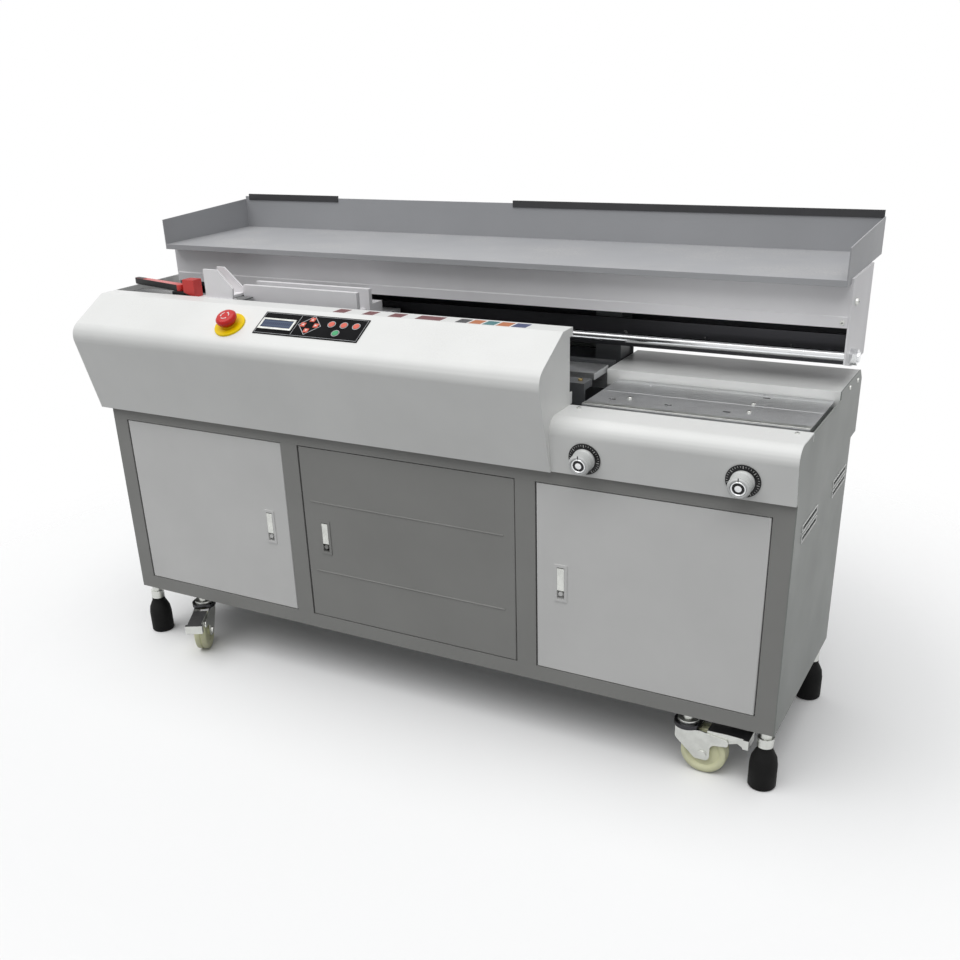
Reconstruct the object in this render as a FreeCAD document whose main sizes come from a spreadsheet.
import FreeCAD, Part
import math
import os
import Sketcher
from FreeCAD import Vector as V

# A floor-standing perfect binding machine: cabinet, covers, bridge with clamp, table and controls.
# Millimetres, +Z up, +X along the machine, -Y the operator's side. The formulas below count y from
# the cabinet's front plane, and every piece is then moved so that the origin lies on the floor
# under the middle of the whole machine.

doc = FreeCAD.newDocument("perfect_binding_machine")
sheet = doc.addObject("Spreadsheet::Sheet", "Sizes")

SIZES = {
    # cabinet
    "cabinet_length": 1400, "cabinet_depth": 382, "frame_low": 117, "rail_low": 29,
    "door_opening": 356, "rail_top": 25, "post": 35, "mullion": 38, "left_bay": 395,
    "middle_bay": 459, "tube_wall": 2, "skin": 2,
    # doors and latches
    "door_gap": 2, "door_depth": 18, "door_sheet": 1.5, "door_inset": 1, "hinge_in": 5,
    "door_bend": 2, "latch_rim": 3, "lever_drop": 1.4, "lever_pivot": 4.2,
    "latch_play_in": 0.4, "latch_button": 4, "button_drop": 20,
    "pin_radius": 3, "pin_play": 0.08, "pin_reach": 7, "bead_low": 101, "bead_high": 246,
    "bead_radius": 1.4, "bead_margin": 20, "latch_inset": 46, "latch_height": 175,
    "latch_width": 24, "latch_tall": 70, "latch_plate": 1.5, "latch_tub": 14, "lever_tall": 42,
    "lever_thick": 4, "latch_wall": 2, "lever_play": 0.4, "latch_pin": 1.5,
    # castors and feet
    "castor_left": -554, "castor_right": 546, "castor_front": 27, "castor_rear": 356,
    "castor_stem": 9.5, "stem_high": 17, "race_radius": 19, "race_high": 5, "race_play": 0.3,
    "kingpin": 6, "crown_radius": 25, "crown_high": 8, "wheel_radius": 41, "wheel_width": 26,
    "wheel_lift": 0.5, "wheel_dish": 4, "wheel_shoulder": 4, "wheel_boss": 11, "fork_wall": 3,
    "fork_play": 2, "axle_radius": 5, "axle_head": 8, "trail": 32, "left_castor_turn": -61,
    "right_castor_turn": 0, "rear_castor_turn": 0, "pedal_out": 36, "pedal_up": 34,
    "pedal_reach": 43, "pedal_wide": 36, "pedal_tail": 30, "pedal_rise": 10, "pedal_lip": 10,
    "foot_left": -689, "foot_right": 681, "foot_front": 26, "foot_rear": 356, "foot_radius": 24,
    "foot_neck": 14, "foot_shoulder": 57, "foot_high": 80, "stud_radius": 6, "stud_play": 0.3,
    "nut_high": 17,
    # deck, covers and side panels
    "deck_sheet": 6, "cover_sheet": 2, "cover_split": 300, "cover_overhang": 15,
    "cover_top": 748, "cover_back": 75, "slope_back": 37, "slope_run": 79, "slope": 29.1,
    "cover_lean": 15.56, "nose_radius": 30, "cover_foot": 14, "back_flange": 14,
    "cover_end_back": 63, "cover_end_step": 20,
    "low_top": 621, "low_back": 65, "low_lean": 9.3, "low_foot": 9,
    "low_radius": 26, "rear_deck_front": 252, "rear_deck_top": 635,
    "rear_deck_left": 290, "panel_back": 422, "vent_long": 96, "vent_high": 8, "vent_step": 18,
    # bridge
    "beam_front": 247, "beam_back": 408, "beam_low": 739, "beam_bend": 17,
    "beam_lip": 1.5, "beam_sheet": 2.5, "beam_skirt": 664, "beam_return": 46, "end_plate": 3,
    "end_corner": 61, "end_chin": 16, "column_wide": 50, "column_deep": 54, "column_right": 261,
    "column_left": -640, "column_wall": 3, "rod_radius": 8.5, "rod_y": 287, "rod_z": 685,
    "rod_seat": 0.05, "rod_nut": 12, "nut_across": 24, "strip_y": 312, "strip_thick": 6,
    "strip_low": 664, "strip_high": 50, "strip_hole": 3.5,
    # tray
    "tray_half": 696, "tray_front": 218, "tray_rear": 494, "tray_floor": 818, "tray_lip": 10,
    "tray_wall_front": 49, "tray_wall_rear": 60, "tray_back_wall": 66, "tray_sheet": 2,
    "edge_high": 5, "edge_lap": 8, "edge_thick": 2, "edge_left": -683, "edge_left_long": 244,
    "edge_right": -15,
    # clamp
    "clamp_left": -446, "clamp_long": 270, "jaw_top": 759, "jaw_low": 655, "jaw_thick": 10,
    "rear_jaw": 196, "clamp_gap": 32, "bearing_half": 17, "bearing_long": 60,
    "bearing_play": 0.08, "jaw_rod": 6, "jaw_rod_z": 718, "jaw_rod_in": 15, "boss_deep": 34,
    "jaw_reach": 86, "jaw_foot": 12,
    "rail_y": 122, "rail_deep": 12, "rail_z": 716, "rail_high": 18, "rail_left": -690,
    "rail_right": 225, "rail_post": 18,
    # side gauge
    "gauge_deck": 738, "gauge_deck_back": 150, "gauge_deck_right": -420, "gauge_leg_back": 118,
    "gauge_plate": 4, "gauge_base": 5, "gauge_lift": 0.3, "gauge_front": 93, "gauge_rear": 158,
    "gauge_left": -568, "block_left": -538, "block_right": -510, "block_deep": 24,
    "block_high": 33, "pad_high": 9, "arm_play": 0.3, "arm_long": 150, "arm_wide": 18,
    "arm_high": 12, "arm_turn": 13, "arm_pin": 4, "stop_left": -490, "stop_right": -421,
    "wing_left": -512, "wing_right": -450, "stop_tall": 54, "wing_tall": 47,
    # stations below the clamp
    "cutter_x": -90, "cutter_radius": 55, "cutter_thick": 8, "cutter_top": 648, "cutter_teeth": 12,
    "tooth_wide": 7, "tooth_deep": 5, "spindle": 12, "motor_radius": 62, "motor_low": 330,
    "collar_radius": 22, "collar_high": 30, "spindle_in": 24, "spine_y": 180,
    "tank_x": 50, "tank_long": 126, "tank_deep": 136, "tank_high": 96, "tank_wall": 5,
    "roller_radius": 34, "roller_gap": 4, "shaft_radius": 6, "shaft_play": 0.08, "shaft_out": 6,
    "nip_left": 135, "nip_right": 298, "nip_top": 640, "nip_gap": 34, "nip_thick": 12,
    "nip_front": 128, "nip_front_deep": 35, "nip_rear_deep": 65, "nip_bed": 8, "bar_y": 286,
    "bar_thick": 12, "rear_bar_right": 231, "push_rod": 5, "push_z": 610, "push_in": 24, "push_clear": 2,
    "push_reach": 83, "push_head": 9, "nip_wall": 6,
    # table
    "table_top": 619, "table_left": 313, "table_right": 690, "table_front": 83,
    "table_step": 175, "table_rear": 237, "table_back": 250, "table_thick": 12, "table_leg": 30,
    "table_seam": 0.4, "leg_front": 95, "leg_rear": 200, "leg_in": 12, "table_hole": 4,
    # controls
    "panel_left": -286, "panel_long": 226, "panel_wide": 57, "panel_start": 20.5,
    "panel_thick": 1.5, "panel_deep": 9, "key_radius": 6, "key_side": 10, "key_high": 5,
    "key_proud": 0.9, "key_play": 0.3, "pocket_deep": 6.5, "panel_rim": 4,
    "mat_thick": 1,
    "lcd_left": 6, "lcd_low": 14, "lcd_long": 70, "lcd_wide": 24, "lcd_proud": 0.6,
    "arrow_x": 110, "arrow_along": 31, "arrow_out": 14, "key_right": 206, "key_pitch": 26,
    "key_along": 38, "green_x": 173, "green_along": 17,
    "stop_x": -346, "stop_along": 34, "stop_ring": 30, "stop_ring_high": 4, "stop_head": 20,
    "stop_stem": 9, "stop_high": 24, "stop_play": 0.3, "stop_travel": 4,
    "stop_collar": 2.5, "stop_edge": 1,
    "dial_left": 361, "dial_right": 619, "dial_along": 32.4, "dial_ring": 27.5, "dial_thick": 2,
    "dial_radius": 19, "dial_high": 27, "dial_shaft": 4, "dial_play": 0.08, "dial_gap": 0.5,
    "dial_bush": 7, "dial_bush_long": 16, "dial_shaft_long": 20,
    # cabinet units
    "floor_sheet": 2, "bin_left": -24, "bin_long": 236, "bin_deep": 240, "bin_front": 60,
    "bin_high": 190, "bin_wall": 2, "box_left": -600, "box_long": 280, "box_deep": 90,
    "box_low": 200, "box_high": 260, "chute_left": -20, "chute_long": 60, "chute_deep": 60,
    "chute_high": 170, "chute_wall": 2, "screw_radius": 4, "screw_high": 2.4,
}


class Size:
    """A length together with its formula, so that what is worked out from it stays bound."""

    def __init__(self, text, value):
        self.text = text
        self.value = value

    def __add__(self, other):
        return combine(self, "+", other)

    def __radd__(self, other):
        return combine(other, "+", self)

    def __sub__(self, other):
        return combine(self, "-", other)

    def __rsub__(self, other):
        return combine(other, "-", self)

    def __mul__(self, other):
        return combine(self, "*", other)

    def __rmul__(self, other):
        return combine(other, "*", self)

    def __truediv__(self, other):
        return combine(self, "/", other)

    def __rtruediv__(self, other):
        return combine(other, "/", self)

    def __neg__(self):
        return combine(-1, "*", self)


def sized(item):
    return item if isinstance(item, Size) else Size(repr(float(item)), float(item))


def combine(left, sign, right):
    left, right = sized(left), sized(right)
    results = {"+": left.value + right.value, "-": left.value - right.value,
               "*": left.value * right.value}
    value = left.value / right.value if sign == "/" else results[sign]
    return Size("(%s %s %s)" % (left.text, sign, right.text), value)


def turned_part(name, angle):
    angle = sized(angle)
    return Size("%s(%s)" % (name, angle.text), getattr(math, name)(math.radians(angle.value)))


def bind(item, path, length):
    item.setExpression(path, sized(length).text)


class Sheet:
    """The driving sizes by name, each bound to its cell."""


s = Sheet()
for row, (name, value) in enumerate(SIZES.items(), start=1):
    sheet.set("A%d" % row, name)
    sheet.set("B%d" % row, str(value))
    sheet.setAlias("B%d" % row, name)
    setattr(s, name, Size("Sizes.%s" % name, float(value)))
doc.recompute()

# Heights and planes that several pieces share.
END = s.cabinet_length / 2
HALF = END - s.skin
DOOR_LOW = s.frame_low + s.rail_low
DOOR_TOP = DOOR_LOW + s.door_opening
DECK = DOOR_TOP + s.rail_top
FLOOR_TOP = DECK + s.deck_sheet
LEFT_POST = -END + s.post + s.left_bay
MIDDLE_POST = LEFT_POST + s.mullion + s.middle_bay
RIGHT_BAY = MIDDLE_POST + s.mullion
BACK = s.cabinet_depth - s.skin
COVER_LEFT = -END - s.cover_overhang
SLOPE_FRONT = s.slope_back - s.slope_run
SLOPE_LOW = s.cover_top - s.slope_run * turned_part("tan", s.slope)
AXES = {"X": FreeCAD.Rotation(V(0, 1, 0), 90), "Y": FreeCAD.Rotation(V(1, 0, 0), -90),
        "Z": FreeCAD.Rotation()}
PLANES = {"YZ": FreeCAD.Rotation(V(1, 1, 1), 120), "XZ": FreeCAD.Rotation(V(1, 0, 0), 90)}
nodes = []


def move(item, x=0, y=0, z=0):
    """Put a piece at a place in its own assembly."""
    for axis, length in zip("xyz", (x, y, z)):
        bind(item, "Placement.Base." + axis, length)
    return item


def turn(item, axis, angle):
    item.Placement.Rotation = FreeCAD.Rotation(axis, sized(angle).value)
    bind(item, "Placement.Rotation.Angle", angle)
    return item


def box(x, y, z):
    """A block between a low and a high value along each axis."""
    item = doc.addObject("Part::Box", "block")
    for path, (low, high) in zip(("Length", "Width", "Height"), (x, y, z)):
        bind(item, path, sized(high) - low)
    return move(item, x[0], y[0], z[0])


def rod(axis, x, y, z, radius, length):
    """A round bar that starts at a point and runs along an axis."""
    item = doc.addObject("Part::Cylinder", "round")
    item.Placement.Rotation = AXES[axis]
    bind(item, "Radius", radius)
    bind(item, "Height", length)
    return move(item, x, y, z)


def hexagon(axis, x, y, z, across, length):
    item = doc.addObject("Part::Prism", "hexagon")
    item.Polygon = 6
    item.Placement.Rotation = AXES[axis]
    bind(item, "Circumradius", sized(across) / math.sqrt(3))
    bind(item, "Height", length)
    return move(item, x, y, z)


def fuse(*items):
    item = doc.addObject("Part::MultiFuse", "joined")
    item.Shapes = list(items)
    return item


def cut(base, *tools):
    item = doc.addObject("Part::Cut", "cut")
    item.Base = base
    item.Tool = tools[0] if len(tools) == 1 else fuse(*tools)
    return item


def group(*items):
    item = doc.addObject("Part::Compound", "group")
    item.Links = list(items)
    return item


def node(label, item, x=0, y=0, z=0):
    """Name a finished piece and move it into the machine's frame."""
    item.Label = label
    move(item, x, FRONT + y, z)
    nodes.append(item)
    return item


def fix(sketch, geometry, end, u, v):
    """Hold a point of a sketch at formulas of the sheet."""
    for kind, length in (("DistanceX", u), ("DistanceY", v)):
        rule = Sketcher.Constraint(kind, -1, 1, geometry, end, sized(length).value)
        bind(sketch, "Constraints[%d]" % sketch.addConstraint(rule), length)


def draw(sketch, corners, closed=True):
    """A line through corners (u, v) or (u, v, bend radius), closed or open."""
    flat = [V(sized(c[0]).value, sized(c[1]).value, 0) for c in corners]
    count = len(corners)
    sides = count if closed else count - 1
    starts, ends, arcs = {}, {}, {}
    for i, corner in enumerate(corners):
        starts[i], ends[i] = flat[i], flat[i]
        if len(corner) == 3:
            before = (flat[i - 1] - flat[i]).normalize()
            after = (flat[(i + 1) % count] - flat[i]).normalize()
            half = before.getAngle(after) / 2
            radius = sized(corner[2]).value
            reach = radius / math.tan(half)
            middle = flat[i] + (before + after).normalize() * (radius / math.sin(half))
            ends[i], starts[i] = flat[i] + before * reach, flat[i] + after * reach
            first, last = [math.atan2(p.y - middle.y, p.x - middle.x)
                           for p in (ends[i], starts[i])]
            if (last - first) % (2 * math.pi) > math.pi:
                first, last = last, first
            bend = Part.Circle(middle, V(0, 0, 1), radius)
            arcs[i] = sketch.addGeometry(Part.ArcOfCircle(bend, first, last))
    lines = {}
    for i in range(sides):
        lines[i] = sketch.addGeometry(Part.LineSegment(starts[i], ends[(i + 1) % count]))
    for i, corner in enumerate(corners):
        after = lines.get(i)
        before = lines.get(i - 1 if i else (sides - 1 if closed else None))
        if i in arcs:
            mark = sketch.addGeometry(Part.Point(flat[i]), True)
            fix(sketch, mark, 1, corner[0], corner[1])
            sketch.addConstraint(Sketcher.Constraint("PointOnObject", mark, 1, before))
            sketch.addConstraint(Sketcher.Constraint("PointOnObject", mark, 1, after))
            arc = sketch.Geometry[arcs[i]]
            flip = (arc.StartPoint - ends[i]).Length > (arc.EndPoint - ends[i]).Length
            first, last = (2, 1) if flip else (1, 2)
            sketch.addConstraint(Sketcher.Constraint("Tangent", before, 2, arcs[i], first))
            sketch.addConstraint(Sketcher.Constraint("Tangent", arcs[i], last, after, 1))
            rule = Sketcher.Constraint("Radius", arcs[i], sized(corner[2]).value)
            bind(sketch, "Constraints[%d]" % sketch.addConstraint(rule), corner[2])
        elif before is not None and after is not None:
            sketch.addConstraint(Sketcher.Constraint("Coincident", before, 2, after, 1))
            fix(sketch, after, 1, corner[0], corner[1])
        else:
            line, end = (after, 1) if before is None else (before, 2)
            fix(sketch, line, end, corner[0], corner[1])


def ring(sketch, u, v, radius):
    """A circle of a sketch."""
    flat = V(sized(u).value, sized(v).value, 0)
    round_line = sketch.addGeometry(Part.Circle(flat, V(0, 0, 1), sized(radius).value))
    fix(sketch, round_line, 3, u, v)
    rule = Sketcher.Constraint("Radius", round_line, sized(radius).value)
    bind(sketch, "Constraints[%d]" % sketch.addConstraint(rule), radius)


def folded(plane, path, thick, start, length):
    """Sheet metal bent along a path, with its thickness on the path's left-hand side."""
    sketch = doc.addObject("Sketcher::SketchObject", "path")
    sketch.Placement.Rotation = PLANES[plane]
    draw(sketch, path, closed=False)
    skin = doc.addObject("Part::Offset2D", "skin")
    skin.Source = sketch
    skin.Value = -sized(thick).value
    skin.Mode, skin.Join, skin.Fill = "Skin", "Intersection", True
    bind(skin, "Value", -sized(thick))
    item = doc.addObject("Part::Extrusion", "folded")
    item.Base, item.DirMode, item.Solid = skin, "Custom", True
    item.Dir = {"YZ": V(1, 0, 0), "XZ": V(0, 1, 0)}[plane]
    bind(item, "LengthFwd", length)
    doc.recompute()
    if plane == "YZ":
        return move(item, x=start)
    return move(item, y=start)


def origin_sketch(body, role, name, offset=0):
    sketch = body.newObject("Sketcher::SketchObject", name)
    plane = [f for f in body.Origin.OriginFeatures if f.Role == role][0]
    sketch.AttachmentSupport = [(plane, "")]
    sketch.MapMode = "FlatFace"
    bind(sketch, "AttachmentOffset.Base.z", offset)
    return sketch


def new_body(name):
    return doc.addObject("PartDesign::Body", name)


def pad(body, sketch, length, backwards=False):
    item = body.newObject("PartDesign::Pad", "Pad")
    item.Profile = sketch
    item.Reversed = backwards
    bind(item, "Length", length)
    return item


def pocket(body, sketch, length, backwards=False):
    item = body.newObject("PartDesign::Pocket", "Pocket")
    item.Profile = sketch
    item.Reversed = backwards
    bind(item, "Length", length)
    return item


def plate(name, role, outline, thick, holes=(), slots=()):
    """A padded outline; holes are (u, v, radius), slots are further outlines."""
    body = new_body(name)
    sketch = origin_sketch(body, role, name + "_outline")
    draw(sketch, outline)
    for hole in holes:
        ring(sketch, *hole)
    for slot in slots:
        draw(sketch, slot)
    pad(body, sketch, thick, backwards=role == "XZ_Plane")
    return body


def turned(name, outline, axis="Z"):
    """A turned piece: its outline is (radius, height), spun about the axis named."""
    body = new_body(name)
    role = {"Z": "XZ_Plane", "Y": "XY_Plane"}[axis]
    sketch = origin_sketch(body, role, name + "_profile")
    draw(sketch, outline)
    spin = body.newObject("PartDesign::Revolution", "Revolution")
    spin.Profile = sketch
    spin.ReferenceAxis = (sketch, ["V_Axis"])
    spin.Angle = 360
    return body


def rectangle(left, right, low, high):
    return [(left, low), (right, low), (right, high), (left, high)]


def slope_point(along, up=0):
    """The (y, z) of a point on the cover's slope, so far up it and so far off it."""
    cos, sin = turned_part("cos", s.slope), turned_part("sin", s.slope)
    return SLOPE_FRONT + along * cos - up * sin, SLOPE_LOW + along * sin + up * cos


def bend_point(foot, lean, top_slope, top_y, top_z, inset):
    """Where a cover's leaning front meets its top, for the skin at a depth below the outside."""
    lift, side = turned_part("tan", top_slope), turned_part("tan", lean)
    level = top_z - top_y * lift
    y = -(foot + (level - DECK) * side) / (1 + lift * side)
    z = level + y * lift
    meet = 1 + turned_part("sin", top_slope - lean)
    deep = (turned_part("sin", top_slope) + turned_part("cos", lean)) / meet
    high = (turned_part("sin", lean) - turned_part("cos", top_slope)) / meet
    return y + inset * deep, z + inset * high


def left_profile(inset):
    """The left cover's outline from its top edge to its foot, moved inwards."""
    y, z = bend_point(s.cover_foot, s.cover_lean, s.slope, s.slope_back, s.cover_top, inset)
    return [(s.slope_back + inset * turned_part("tan", s.slope / 2), s.cover_top - inset),
            (y, z, s.nose_radius - inset),
            (-s.cover_foot + inset / turned_part("cos", s.cover_lean), DECK)]


def right_profile(inset):
    y, z = bend_point(s.low_foot, s.low_lean, sized(0), s.low_back, s.low_top, inset)
    return [(y, z, s.low_radius - inset),
            (-s.low_foot + inset / turned_part("cos", s.low_lean), DECK)]


PEDAL_X, PEDAL_END = s.trail + s.pedal_out, s.trail + s.pedal_out + s.pedal_reach
# The left castor's pedal reaches out furthest, past the cover's nose.
PEDAL_FRONT = (s.castor_front + PEDAL_END * turned_part("sin", s.left_castor_turn)
               - s.pedal_wide / 2 * turned_part("cos", s.left_castor_turn))
FRONT = -(s.tray_rear + PEDAL_FRONT) / 2

# Cabinet: a welded frame of box tube with skins, a floor and two partitions.


def tube(x, y, z, along):
    """A square tube, open at both ends."""
    inner = [(low + s.tube_wall, high - s.tube_wall) for low, high in (x, y, z)]
    index = "XYZ".index(along)
    inner[index] = (x, y, z)[index]
    return cut(box(x, y, z), box(*inner))


FEET = {"front_left": (s.foot_left, s.foot_front), "front_right": (s.foot_right, s.foot_front),
        "rear_left": (s.foot_left, s.foot_rear), "rear_right": (s.foot_right, s.foot_rear)}
DOORS = {"left": (-END + s.post, LEFT_POST, -1),
         "middle": (LEFT_POST + s.mullion, MIDDLE_POST, 1),
         "right": (RIGHT_BAY, END - s.post, 1)}


def hinge_place(low, high, side):
    """The (x, y) of a door's hinge line, at its left (-1) or right (1) edge."""
    inset = s.door_gap + s.hinge_in
    return (low + inset if side < 0 else high - inset), s.door_inset + s.hinge_in


def cabinet_frame():
    front, rear = (0, s.post), (BACK - s.post, BACK)
    left, right = (-HALF, -END + s.post), (END - s.post, HALF)
    bars = []
    for y in (front, rear):
        for x in (left, right, (LEFT_POST, LEFT_POST + s.mullion), (MIDDLE_POST, RIGHT_BAY)):
            bars.append(tube(x, y, (DOOR_LOW, DOOR_TOP), "Z"))
    sides = (s.post, BACK - s.post)
    for z in ((s.frame_low, DOOR_LOW), (DOOR_TOP, DECK)):
        for x in (left, right):
            bars.append(tube(x, sides, z, "Y"))
    reach = s.tube_wall * 2
    pins = [hinge_place(*door) for door in DOORS.values()]
    hole = s.pin_radius + s.pin_play
    low_pins = [rod("Z", x, y, DOOR_LOW - reach, hole, reach * 2) for x, y in pins]
    top_pins = [rod("Z", x, y, DOOR_TOP - reach, hole, reach * 2) for x, y in pins]
    studs = {}
    for name, (x, y) in FEET.items():
        stud = rod("Z", x, y, s.frame_low - reach, s.stud_radius + s.stud_play, reach * 2)
        studs.setdefault(name.split("_")[0], []).append(stud)
    low, top = (s.frame_low, DOOR_LOW), (DOOR_TOP, DECK)
    bars.append(cut(tube((-HALF, HALF), front, low, "X"), *low_pins, *studs["front"]))
    bars.append(cut(tube((-HALF, HALF), rear, low, "X"), *studs["rear"]))
    bars.append(cut(tube((-HALF, HALF), front, top, "X"), *top_pins))
    bars.append(tube((-HALF, HALF), rear, top, "X"))
    node("cabinet_frame", group(*bars))


def cabinet_panels():
    side = box((-END, -HALF), (0, s.cabinet_depth), (s.frame_low, DECK))
    back = box((-HALF, HALF), (BACK, s.cabinet_depth), (s.frame_low, DECK))
    upper = box((-HALF, s.rear_deck_left), (BACK, s.cabinet_depth), (FLOOR_TOP, s.beam_skirt))
    node("cabinet_panels", group(side, back, upper))
    slots = []
    for start in (50, 265):
        for step in range(2):
            low = s.frame_low + 331 + s.vent_step * step
            slots.append(rectangle(start, start + s.vent_long, low, low + s.vent_high))
    outline = [(s.cabinet_depth, s.frame_low), (s.cabinet_depth, DECK - s.vent_high),
               (s.panel_back, DECK - s.vent_high), (s.panel_back, s.rear_deck_top - s.vent_step),
               (s.panel_back - s.vent_step, s.rear_deck_top),
               (s.rear_deck_front, s.rear_deck_top), (s.rear_deck_front, s.low_top),
               (s.low_back, s.low_top), (s.low_back, s.low_top - s.back_flange),
               (s.low_back - s.cover_sheet, s.low_top - s.back_flange),
               (s.low_back - s.cover_sheet, s.low_top - s.cover_sheet)]
    outline += right_profile(s.cover_sheet) + [(0, DECK), (0, s.frame_low)]
    panel = plate("right_panel", "YZ_Plane", outline, s.skin, slots=slots)
    node("right_side_panel", panel, x=HALF)


def cabinet_inside():
    front, rear = s.post, BACK - s.post
    floor = box((-END + s.post, END - s.post), (front, rear), (DOOR_LOW, DOOR_LOW + s.floor_sheet))
    walls = []
    for x in (LEFT_POST + s.mullion / 2, MIDDLE_POST + s.mullion / 2):
        wall = (x, x + s.floor_sheet)
        walls.append(box(wall, (front, rear), (DOOR_LOW + s.floor_sheet, DECK)))
    node("cabinet_inner_panels", group(floor, *walls))


def named_edges(shape, test):
    """The names of the edges whose middle and direction pass a test."""
    names = []
    for i, edge in enumerate(shape.Edges, start=1):
        if edge.Curve.TypeId == "Part::GeomLine" and test(edge.CenterOfMass, edge.Curve.Direction):
            names.append("Edge%d" % i)
    return names


def door(name, low, high, side):
    """A folded pan with two welded hinge pins and a flush latch set into its free edge."""
    wide = high - low - s.door_gap * 2
    tall = s.door_opening - s.door_gap * 2
    body = new_body(name + "_pan")
    face = origin_sketch(body, "XZ_Plane", name + "_face")
    draw(face, rectangle(0, wide, 0, tall))
    pan = pad(body, face, s.door_depth, backwards=True)
    doc.recompute()
    fronts = named_edges(pan.Shape, lambda p, d: abs(p.y) < 0.01 and abs(d.z) > 0.9)
    bends = body.newObject("PartDesign::Fillet", "Bends")
    bends.Base = (pan, fronts)
    bind(bends, "Radius", s.door_bend)
    inner = origin_sketch(body, "XZ_Plane", name + "_inner", -s.door_sheet)
    thin = s.door_sheet
    draw(inner, rectangle(thin, wide - thin, thin, tall - thin))
    pocket(body, inner, s.door_depth)
    latch = (wide - s.latch_inset if side < 0 else s.latch_inset) + s.door_gap + low
    latch_z = DOOR_LOW + s.latch_height
    half_x, half_z = s.latch_width / 2 - s.latch_rim, s.latch_tall / 2 - s.latch_rim
    u, v = latch - low - s.door_gap, s.latch_height - s.door_gap
    window = origin_sketch(body, "XZ_Plane", name + "_window")
    draw(window, rectangle(u - half_x, u + half_x, v - half_z, v + half_z))
    pocket(body, window, s.door_sheet * 2)
    move(body, low + s.door_gap, s.door_inset, DOOR_LOW + s.door_gap)
    hinge_x, hinge_y = hinge_place(low, high, side)
    pins = []
    for start in (DOOR_LOW + s.door_gap - s.pin_reach + thin, DOOR_TOP - s.door_gap - thin):
        pins.append(rod("Z", hinge_x, hinge_y, start, s.pin_radius, s.pin_reach))
    beads = []
    if name == "middle":
        for height in (s.bead_low, s.bead_high):
            beads.append(rod("X", low + s.bead_margin, s.door_inset, DOOR_LOW + height,
                             s.bead_radius, wide - s.bead_margin * 2))
    leaf = fuse(body, *pins, *beads)
    inset = s.door_inset
    wall = s.latch_wall
    rim = box((latch - s.latch_width / 2, latch + s.latch_width / 2),
              (inset - s.latch_plate, inset),
              (latch_z - s.latch_tall / 2, latch_z + s.latch_tall / 2))
    tub = box((latch - half_x, latch + half_x), (inset, inset + s.latch_tub),
              (latch_z - half_z, latch_z + half_z))
    hollow = box((latch - half_x + wall, latch + half_x - wall),
                 (inset - s.latch_plate, inset + s.latch_tub - wall),
                 (latch_z - half_z + wall, latch_z + half_z - wall))
    top = latch_z + half_z - wall - s.lever_drop
    pivot_y, pivot_z = inset - s.latch_plate + s.lever_thick / 2, top - s.lever_pivot
    reach = half_x - s.latch_play_in
    bore = rod("X", latch - reach, pivot_y, pivot_z, s.latch_pin + s.pin_play, reach * 2)
    button = rod("Y", latch, inset - s.latch_plate, latch_z - s.button_drop, s.latch_button,
                 s.latch_tub + s.latch_plate - wall)
    housing = fuse(cut(fuse(rim, tub), hollow, bore), button)
    node("door_" + name, group(leaf, housing))
    grip = box((latch - half_x + wall + s.lever_play, latch + half_x - wall - s.lever_play),
               (inset - s.latch_plate, inset - s.latch_plate + s.lever_thick),
               (top - s.lever_tall, top))
    pin = rod("X", latch - reach, pivot_y, pivot_z, s.latch_pin, reach * 2)
    node("latch_lever_" + name, fuse(grip, pin))


# Castors and feet.

RACE_Z = s.frame_low - s.stem_high - s.race_high
CROWN = RACE_Z - s.race_play - s.crown_high
WHEEL_Z = s.wheel_radius + s.wheel_lift
PEDAL_Z = WHEEL_Z + s.pedal_up
CASTORS = {"front_left": (s.castor_left, s.castor_front, s.left_castor_turn),
           "front_right": (s.castor_right, s.castor_front, s.right_castor_turn),
           "rear_left": (s.castor_left, s.castor_rear, s.rear_castor_turn),
           "rear_right": (s.castor_right, s.castor_rear, s.rear_castor_turn)}


def castor_mount(x, y):
    """The stem under the frame with its swivel race, bored for the kingpin."""
    stem = rod("Z", x, y, RACE_Z, s.castor_stem, s.stem_high + s.race_high)
    race = rod("Z", x, y, RACE_Z, s.race_radius, s.race_high)
    bore = rod("Z", x, y, RACE_Z, s.kingpin + s.pin_play, s.race_high)
    return cut(fuse(stem, race), bore)


def castor_fork(name):
    """Crown, kingpin, two legs with an ear for the pedal's pin, and the axle with its heads."""
    ear, lobe = PEDAL_X + 8, 13
    outline = [(-18, CROWN + 1), (s.crown_radius, CROWN + 1), (ear, PEDAL_Z + 4, 5),
               (ear, PEDAL_Z - 8, 5), (s.trail + lobe, WHEEL_Z + 22, 10),
               (s.trail + lobe, WHEEL_Z - 11, 9), (s.trail - lobe, WHEEL_Z - 11, 9),
               (-18, WHEEL_Z + 24, 10)]
    gap = s.wheel_width / 2 + s.fork_play
    legs = []
    for side, start in (("left", gap + s.fork_wall), ("right", -gap)):
        leg = plate(name + "_" + side, "XZ_Plane", outline, s.fork_wall)
        legs.append(move(leg, y=start - s.fork_wall))
    reach = gap + s.fork_wall
    axle = rod("Y", s.trail, -reach, WHEEL_Z, s.axle_radius, reach * 2)
    heads = [rod("Y", s.trail, start, WHEEL_Z, s.axle_head, s.fork_wall)
             for start in (-reach - s.fork_wall, reach)]
    pin = rod("Y", PEDAL_X, -gap, PEDAL_Z, s.pin_radius, gap * 2)
    crown = rod("Z", 0, 0, CROWN, s.crown_radius, s.crown_high)
    kingpin = rod("Z", 0, 0, CROWN, s.kingpin, s.crown_high + s.race_high)
    return fuse(crown, kingpin, axle, pin, *heads, *legs)


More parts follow.
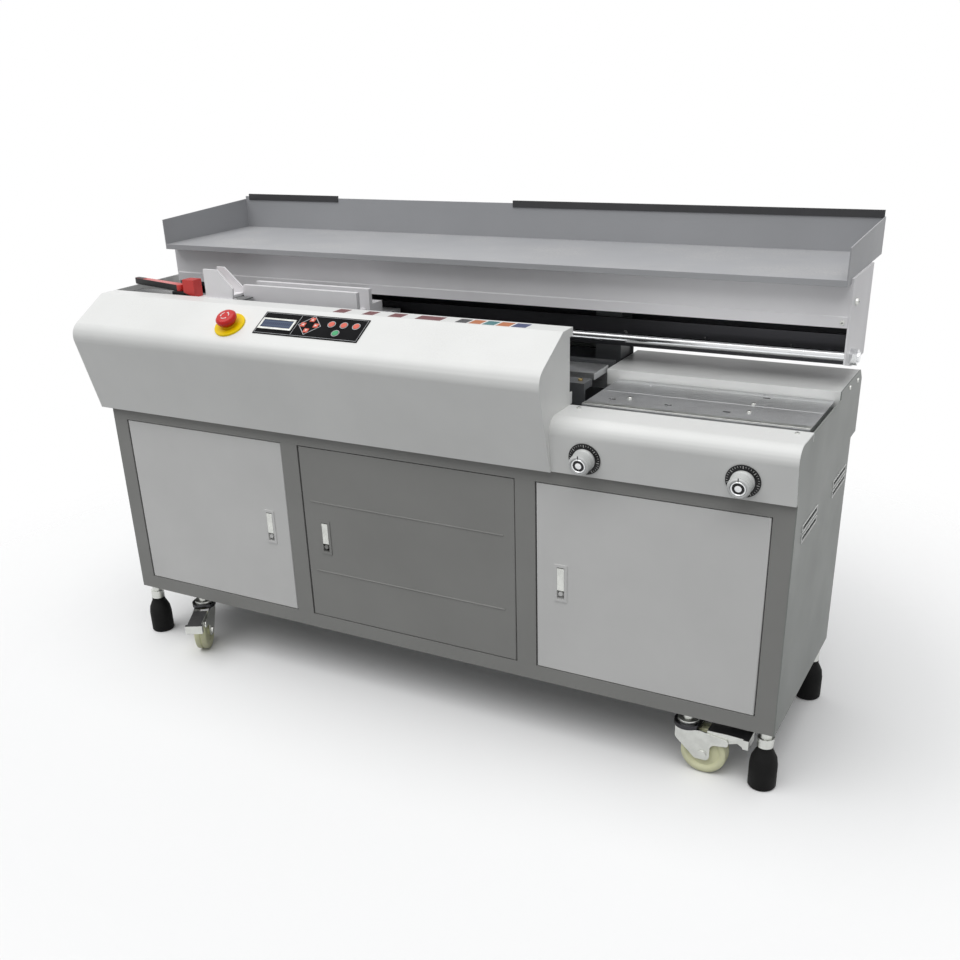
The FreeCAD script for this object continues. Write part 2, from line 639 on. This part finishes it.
def castor_wheel(name):
    half, hub = s.wheel_width / 2, s.wheel_width / 2 + s.fork_play - s.race_play
    bore, rim = s.axle_radius + s.pin_play, s.wheel_radius
    web, shoulder, boss = half - s.wheel_dish, s.wheel_shoulder, s.wheel_boss
    right = [(bore, hub), (boss, hub), (boss, web), (rim - s.wheel_dish * 3, web),
             (rim - s.wheel_dish * 2, half), (rim - shoulder / 3, half - shoulder / 3),
             (rim, half - shoulder)]
    outline = [(radius, -y) for radius, y in right] + right[::-1]
    return turned(name, outline, axis="Y")


def castor_pedal(name):
    """A lever on a pin across the fork, flared into a tip that a foot presses."""
    half = s.wheel_width / 2 + s.fork_play - s.lever_play
    tail, rise, lip = PEDAL_X - s.pedal_tail, PEDAL_Z + s.pedal_rise, s.pedal_lip
    outline = [(tail, rise), (PEDAL_X - 5, PEDAL_Z - 3), (PEDAL_X + 5, PEDAL_Z - 4),
               (PEDAL_END - lip * 2, PEDAL_Z + 2), (PEDAL_END - lip, PEDAL_Z - 4),
               (PEDAL_END - lip, rise + 4), (PEDAL_X + 5, rise + 5), (tail, rise + 4)]
    arm = move(plate(name + "_arm", "XZ_Plane", outline, half * 2), y=-half)
    tip = box((PEDAL_END - lip, PEDAL_END), (-s.pedal_wide / 2, s.pedal_wide / 2),
              (PEDAL_Z - 4, rise + 4))
    bore = rod("Y", PEDAL_X, -half, PEDAL_Z, s.pin_radius + s.pin_play, half * 2)
    return cut(fuse(arm, tip), bore)


def around(item, x, y, angle):
    """Swing a castor's piece about its own upright through (x, y)."""
    angle = sized(angle)
    upright = V(0, 0, 1) if angle.value >= 0 else V(0, 0, -1)
    turn(item, upright, angle if angle.value >= 0 else -angle)
    return item


def castors():
    static = []
    for place, (x, y, angle) in CASTORS.items():
        static.append(castor_mount(x, y))
        fork = around(castor_fork(place + "_fork"), x, y, angle)
        wheel = around(castor_wheel(place + "_wheel"), x, y, angle)
        out_x = s.trail * turned_part("cos", angle)
        out_y = s.trail * turned_part("sin", angle)
        node("castor_wheel_" + place, wheel, x + out_x, y + out_y, WHEEL_Z)
        if place.startswith("rear"):
            static.append(move(fork, x, y))
            continue
        node("castor_fork_" + place, fork, x, y)
        pedal = around(castor_pedal(place + "_pedal"), x, y, angle)
        node("castor_pedal_" + place, pedal, x, y)
    node("castor_mounts", group(*static))


def feet():
    """A rubber boot on a zinc stud whose collar nut is tight against the frame."""
    for place, (x, y) in FEET.items():
        wide, neck = s.foot_radius, s.foot_neck
        stud_low = s.foot_neck
        boot = turned(place + "_boot", [
            (0, 0), (wide - 2, 0), (wide, 3), (wide, s.foot_shoulder - 14),
            (wide - 2, s.foot_shoulder), (neck, s.foot_high - 6), (neck, s.foot_high),
            (s.stud_radius, s.foot_high), (s.stud_radius, stud_low), (0, stud_low)])
        collar = s.foot_high + s.nut_high
        stud = turned(place + "_stud", [
            (0, stud_low), (s.stud_radius, stud_low), (s.stud_radius, s.foot_high),
            (neck, s.foot_high), (neck, collar), (neck - 4, collar), (neck - 4, s.frame_low),
            (s.stud_radius, s.frame_low), (s.stud_radius, s.frame_low + 11),
            (0, s.frame_low + 11)])
        node("foot_" + place, group(boot, stud), x, y)


# Deck and covers.


def machine_deck():
    slab = box((-HALF, HALF), (0, s.cabinet_depth), (DECK, FLOOR_TOP))
    collar = rod("Z", s.cutter_x, s.spine_y, DECK, s.collar_radius, s.deck_sheet)
    half = s.chute_deep / 2
    chute = box((s.chute_left + s.chute_wall, s.chute_left + s.chute_long - s.chute_wall),
                (s.spine_y - half + s.chute_wall, s.spine_y + half - s.chute_wall),
                (DECK, FLOOR_TOP))
    node("machine_deck", cut(slab, collar, chute))


def on_face(item, x, up=0):
    """Set a piece on the right cover's leaning face, its own +Z square to the sheet."""
    cos, sin = turned_part("cos", s.low_lean), turned_part("sin", s.low_lean)
    turn(item, V(1, 0, 0), s.low_lean + 90)
    return move(item, x, -s.low_foot - s.dial_along * sin - up * cos,
                DECK + s.dial_along * cos - up * sin)


def tilted(item, x, along, up):
    """Lay a cutting tool on the left cover's slope, its own +Z square to the sheet."""
    turn(item, V(1, 0, 0), s.slope)
    y, z = slope_point(along, up)
    return move(item, x, y, z)


def slope_node(label, item, x, along, up=0):
    """Name a finished piece and lay it on the left cover's slope."""
    turn(item, V(1, 0, 0), s.slope)
    y, z = slope_point(along, up)
    node(label, item, x, y, z)


def left_cover():
    back = [(s.cover_back, s.cover_top - s.back_flange), (s.cover_back, s.cover_top)]
    shell = folded("YZ", back + left_profile(0), s.cover_sheet, COVER_LEFT,
                   s.cover_split - COVER_LEFT)
    # A plate closes its right end above the low cover, cut away behind for the clamp's travel.
    sheet_back, end_back = s.cover_back - s.cover_sheet, s.cover_end_back
    step, under = s.low_top + s.cover_end_step, s.cover_top - s.back_flange
    closing = left_profile(s.cover_sheet) + [
        (0, DECK), (0, FLOOR_TOP), (s.low_back, FLOOR_TOP), (s.low_back, s.low_top),
        (sheet_back, s.low_top), (sheet_back, step), (end_back, step), (end_back, under),
        (sheet_back, under), (sheet_back, s.cover_top - s.cover_sheet)]
    end = move(plate("cover_end", "YZ_Plane", closing, s.cover_sheet),
               s.cover_split - s.cover_sheet)
    rim = s.panel_rim
    through = s.cover_sheet * 4
    window = box((0, s.panel_long - rim * 2), (0, s.panel_wide - rim * 2), (0, through))
    tilted(window, s.panel_left + rim, s.panel_start + rim, -through / 2)
    hole = rod("Z", 0, 0, 0, s.stop_stem + rim, through)
    tilted(hole, s.stop_x, s.stop_along, -through / 2)
    node("left_front_cover", cut(fuse(shell, end), window, hole))
    # The end panel carries the gauge's deck, which stands on a leg at its other end.
    inner = left_profile(s.cover_sheet)
    outline = [(s.cabinet_depth, DECK), (s.cabinet_depth, s.cover_top),
               (s.cover_back, s.cover_top), (s.cover_back, under), (sheet_back, under),
               (sheet_back, s.cover_top - s.cover_sheet)]
    panel = plate("left_end", "YZ_Plane", outline + inner, s.skin)
    move(panel, COVER_LEFT)
    inside = COVER_LEFT + s.skin
    deck_y = (s.cover_back + s.cover_sheet, s.gauge_deck_back)
    top = box((inside, s.gauge_deck_right), deck_y, (s.gauge_deck - s.skin, s.gauge_deck))
    leg = box((s.gauge_deck_right - s.skin, s.gauge_deck_right), (deck_y[0], s.gauge_leg_back),
              (FLOOR_TOP, s.gauge_deck - s.skin))
    sole = box((inside, -HALF + s.post), (s.post, BACK - s.column_deep),
               (FLOOR_TOP, FLOOR_TOP + s.skin))
    node("left_end_panel", fuse(panel, top, leg, sole))


def right_covers():
    back = [(s.low_back, s.low_top - s.back_flange), (s.low_back, s.low_top)]
    shell = folded("YZ", back + right_profile(0), s.cover_sheet, s.cover_split,
                   END - s.cover_split)
    through = s.cover_sheet * 4
    bores = [on_face(rod("Z", 0, 0, 0, s.dial_bush, through), x, -through / 2)
             for x in (s.dial_left, s.dial_right)]
    node("right_front_cover", cut(shell, *bores))
    path = [(s.panel_back, DECK), (s.panel_back, s.rear_deck_top - s.vent_step),
            (s.panel_back - s.vent_step, s.rear_deck_top), (s.rear_deck_front, s.rear_deck_top),
            (s.rear_deck_front, s.table_top - s.table_thick)]
    deck = folded("YZ", path, s.cover_sheet, s.rear_deck_left, HALF - s.rear_deck_left)
    side = box((s.rear_deck_left, s.rear_deck_left + s.skin),
               (s.rear_deck_front + s.cover_sheet, BACK),
               (FLOOR_TOP, s.rear_deck_top - s.cover_sheet))
    node("rear_deck_cover", fuse(deck, side))


# Bridge: a folded beam on two columns, its end plates, guide rod, rails and the top tray.

BEAM_TOP = s.tray_floor - s.tray_sheet
BEAM_HALF = END - s.end_plate


def bridge():
    lip = s.beam_front - s.beam_lip
    path = [(s.beam_back, s.beam_skirt), (s.beam_back, BEAM_TOP), (s.beam_front, BEAM_TOP),
            (s.beam_front, s.beam_low + s.beam_bend + s.beam_lip),
            (lip, s.beam_low + s.beam_bend), (lip, s.beam_low),
            (lip + s.beam_return, s.beam_low)]
    node("bridge_beam", folded("YZ", path, s.beam_sheet, 0, BEAM_HALF * 2), x=-BEAM_HALF)
    outline = [(s.beam_front, s.beam_skirt + s.end_chin), (s.beam_front + s.end_corner,
               s.beam_skirt), (s.beam_back, s.beam_skirt), (s.beam_back, BEAM_TOP),
               (s.beam_front, BEAM_TOP)]
    hole = (s.rod_y, s.rod_z, s.rod_radius + s.rod_seat)
    plates = []
    for name, x in (("left", -END), ("right", BEAM_HALF)):
        end = plate("beam_end_" + name, "YZ_Plane", outline, s.end_plate, holes=[hole])
        plates.append(move(end, x))
    columns = []
    for x in (s.column_left, s.column_right):
        half = s.column_wide / 2
        columns.append(cut(
            box((x - half, x + half), (BACK - s.column_deep, BACK),
                (FLOOR_TOP, BEAM_TOP - s.beam_sheet)),
            box((x - half + s.column_wall, x + half - s.column_wall),
                (BACK - s.column_deep + s.column_wall, BACK - s.column_wall),
                (FLOOR_TOP, BEAM_TOP - s.beam_sheet))))
    node("bridge_supports", group(*plates, *columns))


def rails():
    """The guide rod with its end nuts, the strip behind it and the rail in front."""
    far = END + s.cover_overhang
    bar = rod("X", -END - s.rod_nut, s.rod_y, s.rod_z, s.rod_radius, END + s.rod_nut + far)
    nuts = [hexagon("X", x, s.rod_y, s.rod_z, s.nut_across, s.rod_nut)
            for x in (-END - s.rod_nut, END)]
    node("guide_rod", fuse(bar, *nuts))
    holes = [(x, s.strip_high / 2, s.strip_hole) for x in range(-600, 700, 150)]
    strip = plate("strip", "XZ_Plane", rectangle(-BEAM_HALF, BEAM_HALF, 0, s.strip_high),
                  s.strip_thick, holes=holes)
    move(strip, 0, s.strip_y, s.strip_low)
    rail_y = (s.rail_y, s.rail_y + s.rail_deep)
    rail = box((s.rail_left, s.rail_right), rail_y, (s.rail_z, s.rail_z + s.rail_high))
    # The first post stands on the left end panel's sole, the others on the deck.
    posts = []
    for x, foot in ((s.rail_left, FLOOR_TOP + s.skin),
                    (s.clamp_left + s.clamp_long / 2, FLOOR_TOP),
                    (s.tank_x + s.tank_long / 2 + s.shaft_out, FLOOR_TOP)):
        posts.append(box((x, x + s.rail_post / 2), rail_y, (foot, s.rail_z)))
    node("clamp_rails", group(strip, rail, *posts))


def top_tray():
    back = s.tray_rear - s.tray_sheet
    inner = s.tray_half - s.tray_sheet
    path = [(back, s.tray_floor + s.tray_back_wall), (back, s.tray_floor),
            (s.tray_front, s.tray_floor), (s.tray_front, s.tray_floor - s.tray_lip)]
    shell = folded("YZ", path, s.tray_sheet, -inner, inner * 2)
    lip = s.tray_floor - s.tray_lip
    outline = [(s.tray_front, lip), (s.beam_front, lip), (s.beam_front, BEAM_TOP),
               (s.tray_rear, BEAM_TOP), (s.tray_rear, s.tray_floor + s.tray_wall_rear),
               (s.tray_front, s.tray_floor + s.tray_wall_front)]
    ends = [move(plate("tray_end_" + name, "YZ_Plane", outline, s.tray_sheet), x)
            for name, x in (("left", -s.tray_half), ("right", inner))]
    node("top_tray", fuse(shell, *ends))
    top = s.tray_floor + s.tray_back_wall
    strips = []
    for left, right in ((s.edge_left, s.edge_left + s.edge_left_long), (s.edge_right, inner)):
        lap = box((left, right), (back - s.edge_thick, back), (top - s.edge_lap,
                  top + s.edge_high))
        cap = box((left, right), (back, s.tray_rear), (top, top + s.edge_high))
        strips.append(fuse(lap, cap))
    node("tray_edge_strips", group(*strips))


# Clamp: a carriage with the rear jaw slides on the guide rod, the front jaw slides in it.


def clamp():
    left, right = s.clamp_left, s.clamp_left + s.clamp_long
    jaw_z = (s.jaw_low, s.jaw_top)
    jaw_back = s.rear_jaw + s.jaw_thick
    rear = box((left, right), (s.rear_jaw, jaw_back), jaw_z)
    blocks, bosses, bores, rods = [], [], [], []
    for start in (left, right - s.bearing_long):
        blocks.append(box((start, start + s.bearing_long),
                          (jaw_back, s.rod_y + s.bearing_half),
                          (s.rod_z - s.bearing_half, s.rod_z + s.bearing_half)))
        bores.append(rod("X", start, s.rod_y, s.rod_z, s.rod_radius + s.bearing_play,
                         s.bearing_long))
    for x in (left + s.jaw_rod_in, right - s.jaw_rod_in):
        half = s.jaw_rod_in
        bosses.append(box((x - half, x + half), (jaw_back, jaw_back + s.boss_deep),
                          (s.rod_z + s.bearing_half, s.jaw_rod_z + s.jaw_foot)))
        bores.append(rod("Y", x, s.rear_jaw, s.jaw_rod_z, s.jaw_rod + s.bearing_play,
                         s.jaw_thick + s.boss_deep))
        rods.append(rod("Y", x, s.rear_jaw - s.clamp_gap, s.jaw_rod_z, s.jaw_rod, s.jaw_reach))
    node("clamp_carriage", cut(fuse(rear, *blocks, *bosses), *bores))
    face = s.rear_jaw - s.clamp_gap
    front = box((left, right), (face - s.jaw_thick, face), jaw_z)
    node("clamp_front_jaw", fuse(front, *rods))


def side_gauge():
    """Two stop plates on a sliding base, with a red block and a swinging lever."""
    low = s.gauge_deck + s.gauge_lift
    top = low + s.gauge_base
    left, right, wing = s.gauge_left, s.stop_right, s.wing_left
    near = s.gauge_front - 7
    base = box((left, right - 2), (near, near + 18), (low, top))
    arm_base = box((wing, s.wing_right), (near, s.gauge_rear + 7), (low, top))
    front = plate("front_stop", "XZ_Plane", [
        (s.stop_left, top), (right - 2, top), (right, top + 20), (right - 34, top + s.stop_tall),
        (s.stop_left, top + s.stop_tall)], s.gauge_plate)
    rear = plate("rear_stop", "XZ_Plane", [
        (wing, top), (s.wing_right, top), (s.wing_right + 1, top + 9),
        (wing + 19, top + s.wing_tall), (wing, top + s.wing_tall)], s.gauge_plate)
    move(front, 0, s.gauge_front, 0)
    move(rear, 0, s.gauge_rear, 0)
    node("side_gauge_plates", fuse(base, arm_base, front, rear))
    middle = s.gauge_front + 2
    half = s.block_deep / 2
    block = box((s.block_left, s.block_right), (middle - half, middle + half),
                (top, top + s.block_high))
    pad_block = box((left, s.block_left), (middle - half, middle + half), (top,
                    top + s.pad_high))
    pivot = left + s.block_deep / 2
    bore = rod("Z", pivot, middle, top, s.arm_pin + s.pin_play, s.pad_high)
    node("side_gauge_block", cut(fuse(block, pad_block), bore))
    arm = plate("gauge_arm", "XY_Plane", [
        (s.arm_wide / 2, -s.arm_wide / 2, s.arm_wide / 2.2),
        (s.arm_wide / 2, s.arm_wide / 2, s.arm_wide / 2.2),
        (-s.arm_long, s.arm_wide / 3, 4), (-s.arm_long, -s.arm_wide / 3, 4)], s.arm_high)
    move(arm, 0, 0, s.pad_high + s.arm_play)
    pin = rod("Z", 0, 0, 0.2, s.arm_pin, s.pad_high + s.arm_high)
    lever = turn(fuse(arm, pin), V(0, 0, -1), s.arm_turn)
    node("side_gauge_lever", lever, pivot, middle, top)


# Stations under the clamp: milling, gluing and nipping, then the table.


def milling():
    x, y = s.cutter_x, s.spine_y
    body = rod("Z", x, y, s.motor_low, s.motor_radius, DECK - s.motor_low)
    collar = rod("Z", x, y, DECK, s.collar_radius, s.deck_sheet + s.collar_high)
    bore = rod("Z", x, y, FLOOR_TOP + s.collar_high - s.spindle_in, s.spindle + s.shaft_play,
               s.spindle_in)
    node("milling_motor", cut(fuse(body, collar), bore))
    under = s.cutter_top - s.cutter_thick
    seat = FLOOR_TOP + s.collar_high - s.spindle_in + s.race_play
    cutter = turned("cutter", [
        (0, seat), (s.spindle, seat), (s.spindle, under - 14), (s.spindle + 10, under - 14),
        (s.spindle + 14, under), (s.cutter_radius, under), (s.cutter_radius, s.cutter_top),
        (s.cutter_radius - 14, s.cutter_top), (s.cutter_radius - 16, s.cutter_top - 3),
        (0, s.cutter_top - 3)])
    gullet = origin_sketch(cutter, "XY_Plane", "gullet", s.cutter_top)
    draw(gullet, rectangle(s.cutter_radius - s.tooth_deep, s.cutter_radius + 5,
                           -s.tooth_wide / 2, s.tooth_wide / 2))
    notch = pocket(cutter, gullet, s.cutter_thick)
    teeth = cutter.newObject("PartDesign::PolarPattern", "Teeth")
    teeth.Originals = [notch]
    teeth.Axis = (gullet, ["N_Axis"])
    teeth.Angle = 360
    bind(teeth, "Occurrences", s.cutter_teeth)
    cutter.Tip = teeth
    node("milling_cutter", cutter, x, y)


def gluing():
    half_x, half_y, wall = s.tank_long / 2, s.tank_deep / 2, s.tank_wall
    x, y = s.tank_x, s.spine_y
    shaft_z = s.cutter_top - s.roller_radius
    tank = box((x - half_x, x + half_x), (y - half_y, y + half_y),
               (FLOOR_TOP, FLOOR_TOP + s.tank_high))
    hollow = box((x - half_x + wall, x + half_x - wall), (y - half_y + wall, y + half_y - wall),
                 (FLOOR_TOP + wall, FLOOR_TOP + s.tank_high))
    reach = half_y + s.shaft_out
    bore = rod("Y", x, y - reach, shaft_z, s.shaft_radius + s.shaft_play, reach * 2)
    node("glue_tank", cut(tank, hollow, bore))
    drum_half = half_y - wall - s.roller_gap
    drum = rod("Y", x, y - drum_half, shaft_z, s.roller_radius, drum_half * 2)
    shaft = rod("Y", x, y - reach, shaft_z, s.shaft_radius, reach * 2)
    node("glue_roller", fuse(drum, shaft))


def nipping_and_table():
    left, right = s.nip_left, s.nip_right
    plate_z = (s.nip_top - s.nip_thick, s.nip_top)
    face = s.nip_front + s.nip_front_deep
    rear_face = face + s.nip_gap
    bed_top = FLOOR_TOP + s.nip_bed
    inner = s.rear_deck_left - s.skin
    bed = box((left, inner), (s.nip_front, s.bar_y + s.bar_thick), (FLOOR_TOP, bed_top))
    wall = box((left, right), (s.nip_front, s.nip_front + s.nip_wall), (bed_top, plate_z[0]))
    front = box((left, right), (s.nip_front, face), plate_z)
    bar = box((left, inner), (s.bar_y, s.bar_y + s.bar_thick), (bed_top, s.nip_top))
    # The right push rod runs beside the bridge's column.
    column = s.column_right - s.column_wide / 2
    places = (left + s.push_in, column - s.push_head - s.push_clear)
    holes = [rod("Y", x, s.bar_y, s.push_z, s.push_rod + s.bearing_play, s.bar_thick)
             for x in places]
    rear_bar = box((left, s.rear_bar_right), (BACK - s.bar_thick, BACK),
                   (FLOOR_TOP, s.nip_top))
    base = [bed, wall, front, cut(bar, *holes)]
    legs = []
    for y in (s.leg_front, s.leg_rear):
        legs.append(box((s.table_left + s.leg_in, s.table_right - s.leg_in),
                        (y, y + s.table_leg), (FLOOR_TOP, s.table_top - s.table_thick)))
    node("station_frames", group(*base, rear_bar, *legs))
    deep = s.nip_rear_deep
    gap = s.lever_play
    slide = box((left + gap, inner - gap), (rear_face, rear_face + deep), plate_z)
    skirt = box((left + gap, inner - gap), (rear_face + deep - s.nip_wall, rear_face + deep),
                (s.push_z - s.nip_thick, plate_z[0]))
    rods = [rod("Y", x, rear_face + deep, s.push_z, s.push_rod, s.push_reach) for x in places]
    heads = [rod("Y", x, rear_face + deep + s.push_reach, s.push_z, s.push_head, s.nip_wall)
             for x in places]
    node("nip_slider", fuse(slide, skirt, *rods, *heads))
    plates = []
    steps = (s.table_front, s.table_step, s.table_rear, s.table_back)
    spots = ([(35, 46), (135, 46), (237, 41)], [(273, 54), (69, 54)], [(262, 7)])
    for i, holes in enumerate(spots):
        deep = steps[i + 1] - steps[i] - s.table_seam
        outline = rectangle(0, s.table_right - s.table_left, 0, deep)
        slab = plate("table_plate_%d" % i, "XY_Plane", outline, s.table_thick,
                     holes=[(u, v, s.table_hole) for u, v in holes])
        plates.append(move(slab, s.table_left, steps[i], s.table_top - s.table_thick))
    node("table_plates", group(*plates))


# Controls.


def key_places():
    """Each key's distance from the panel's left edge and up the slope from its lower edge."""
    row = s.key_right - s.key_pitch * 2
    return {"start": (row, s.key_along), "stop": (row + s.key_pitch, s.key_along),
            "mode": (s.key_right, s.key_along), "green": (s.green_x, s.green_along)}


def arrow_outlines(grow):
    """Four square keys set as a diamond about one middle."""
    half = s.key_side / 2 + grow
    x, y, out = s.arrow_x, s.arrow_along, s.arrow_out
    marks = ((x - out, y), (x + out, y), (x, y - out), (x, y + out))
    return [rectangle(u - half, u + half, v - half, v + half) for u, v in marks]


def mat_outline(grow):
    """The rubber mat that joins the four keys below the panel's face."""
    half = s.arrow_out + s.key_side / 2 + grow
    return rectangle(s.arrow_x - half, s.arrow_x + half, s.arrow_along - half,
                     s.arrow_along + half)


def controls():
    """The panel with its wells and screen, and the keys that move in the wells."""
    body = new_body("panel")
    rim = s.panel_rim
    block = origin_sketch(body, "XY_Plane", "panel_block", -s.panel_deep)
    draw(block, rectangle(rim, s.panel_long - rim, rim, s.panel_wide - rim))
    pad(body, block, s.panel_deep)
    face = origin_sketch(body, "XY_Plane", "panel_face")
    draw(face, rectangle(0, s.panel_long, 0, s.panel_wide))
    pad(body, face, s.panel_thick)
    wells = origin_sketch(body, "XY_Plane", "wells", s.panel_thick)
    for u, v in key_places().values():
        ring(wells, u, v, s.key_radius + s.key_play)
    for outline in arrow_outlines(s.key_play):
        draw(wells, outline)
    pocket(body, wells, s.pocket_deep)
    low = s.panel_thick + s.key_proud - s.key_high
    roof = low + s.mat_thick + s.key_play
    under = origin_sketch(body, "XY_Plane", "mat_well", roof)
    draw(under, mat_outline(s.key_play))
    pocket(body, under, roof - (s.panel_thick - s.pocket_deep))
    glass = origin_sketch(body, "XY_Plane", "glass", s.panel_thick)
    draw(glass, rectangle(s.lcd_left, s.lcd_left + s.lcd_long, s.lcd_low,
                          s.lcd_low + s.lcd_wide))
    pad(body, glass, s.lcd_proud)
    slope_node("control_panel", body, s.panel_left, s.panel_start)
    for name, (u, v) in key_places().items():
        key = rod("Z", 0, 0, 0, s.key_radius, s.key_high)
        slope_node("key_" + name, key, s.panel_left + u, s.panel_start + v, low)
    keys = new_body("arrows")
    tops = origin_sketch(keys, "XY_Plane", "arrow_tops")
    for outline in arrow_outlines(0):
        draw(tops, outline)
    pad(keys, tops, s.key_high)
    mat = origin_sketch(keys, "XY_Plane", "mat")
    draw(mat, mat_outline(0))
    pad(keys, mat, s.mat_thick)
    slope_node("key_arrows", keys, s.panel_left, s.panel_start, low)


def emergency_stop():
    """A round plate with a collar on the slope, and the mushroom head that slides in it."""
    high, bore, stem = s.stop_ring_high, s.stop_stem + s.stop_play, s.stop_stem + s.panel_rim
    top, edge = high + s.stop_collar, s.stop_edge
    collar = turned("stop_collar", [
        (bore, -s.panel_deep), (stem, -s.panel_deep), (stem, 0), (s.stop_ring, 0),
        (s.stop_ring, high - edge), (s.stop_ring - edge, high), (stem + edge, high),
        (stem + edge, top), (bore, top)])
    slope_node("emergency_stop_ring", collar, s.stop_x, s.stop_along)
    head, stem_low = s.stop_head, -s.panel_deep - s.stop_travel
    low = top + s.stop_travel + edge
    button = turned("stop_button", [
        (0, stem_low), (s.stop_stem, stem_low), (s.stop_stem, low), (head - edge * 2, low),
        (head, low + edge * 4), (head, low + edge * 8), (head - edge * 3, s.stop_high - edge),
        (head - edge * 8, s.stop_high), (0, s.stop_high)])
    slope_node("emergency_stop_button", button, s.stop_x, s.stop_along)


def dials():
    """Two knobs with a turned grip, each over a scale plate whose bush carries its shaft."""
    rings = []
    start = s.dial_thick - s.dial_bush_long
    for name, x in (("left", s.dial_left), ("right", s.dial_right)):
        disc = rod("Z", 0, 0, 0, s.dial_ring, s.dial_thick)
        bush = rod("Z", 0, 0, start, s.dial_bush, s.dial_bush_long)
        bore = rod("Z", 0, 0, start, s.dial_shaft + s.dial_play, s.dial_bush_long)
        rings.append(on_face(cut(fuse(disc, bush), bore), x))
        low, rim, top = s.dial_thick + s.dial_gap, s.dial_radius, s.dial_high
        knob = turned("dial_" + name + "_knob", [
            (0, low - s.dial_shaft_long), (s.dial_shaft, low - s.dial_shaft_long),
            (s.dial_shaft, low), (rim, low), (rim, low + 4), (rim - 1.5, low + 6),
            (rim - 2, top - 2), (rim - 4, top), (rim - 6, top), (rim - 6, top - 3),
            (6, top - 3), (6, top - 1), (0, top - 1)])
        turn(knob, V(1, 0, 0), s.low_lean + 90)
        node("dial_" + name, knob, x, -s.low_foot - s.dial_along * turned_part("sin", s.low_lean),
             DECK + s.dial_along * turned_part("cos", s.low_lean))
    node("dial_plates", group(*rings))


# Units inside the cabinet, and the screws that show.


def cabinet_units():
    floor = DOOR_LOW + s.floor_sheet
    wall = s.bin_wall
    x, y = (s.bin_left, s.bin_left + s.bin_long), (s.bin_front, s.bin_front + s.bin_deep)
    tub = cut(box(x, y, (floor, floor + s.bin_high)),
              box((x[0] + wall, x[1] - wall), (y[0] + wall, y[1] - wall),
                  (floor + wall, floor + s.bin_high)))
    half = s.chute_deep / 2
    cx, cy = (s.chute_left, s.chute_left + s.chute_long), (s.spine_y - half, s.spine_y + half)
    wall = s.chute_wall
    chute = cut(box(cx, cy, (DECK - s.chute_high, DECK)),
                box((cx[0] + wall, cx[1] - wall), (cy[0] + wall, cy[1] - wall),
                    (DECK - s.chute_high, DECK)))
    node("waste_bin_and_chute", group(tub, chute))
    low = s.box_low
    case = box((s.box_left, s.box_left + s.box_long), (BACK - s.box_deep, BACK),
               (low, low + s.box_high))
    lid = box((s.box_left + 6, s.box_left + s.box_long - 6),
              (BACK - s.box_deep - 4, BACK - s.box_deep), (low + 6, low + s.box_high - 6))
    node("electrical_box", fuse(case, lid))


def screws():
    """Pan heads that hold the covers, the end plate and the table."""
    high = s.screw_high
    heads = []
    for x in (s.cover_split + 22, END - 22):
        heads.append(rod("Z", x, s.low_back - 14, s.low_top, s.screw_radius, high))
    heads.append(rod("X", END, 280, 775, s.screw_radius * 1.5, high * 2))
    for y, z in ((382, 622), (316, 626)):
        heads.append(rod("X", END, y, z, s.screw_radius, high))
    heads.append(rod("Y", BEAM_HALF - 8, s.beam_front - s.beam_lip - high,
                     s.beam_low + s.beam_bend / 2, s.screw_radius, high))
    for x, y in ((64, 57), (268, 53), (262, 100)):
        heads.append(rod("Z", s.table_left + x, s.table_front + y, s.table_top, s.screw_radius,
                         high * 1.5))
    node("screws", group(*heads))


cabinet_frame()
cabinet_panels()
cabinet_inside()
for door_name, opening in DOORS.items():
    door(door_name, *opening)
castors()
feet()
machine_deck()
left_cover()
right_covers()
bridge()
rails()
top_tray()
clamp()
side_gauge()
milling()
gluing()
nipping_and_table()
controls()
emergency_stop()
dials()
cabinet_units()
screws()
doc.recompute()

faults = [item.Label for item in doc.Objects
          if any(word in item.State for word in ("Invalid", "Error"))]
for item in nodes:
    if item.Shape.isNull() or not item.Shape.isValid() or not item.Shape.Solids:
        faults.append(item.Label)
if faults:
    raise RuntimeError("failed: " + ", ".join(faults))

os.makedirs("parts", exist_ok=True)
for item in nodes:
    item.Shape.exportStep("parts/%s.step" % item.Label)
print(len(nodes), "sub-parts written")
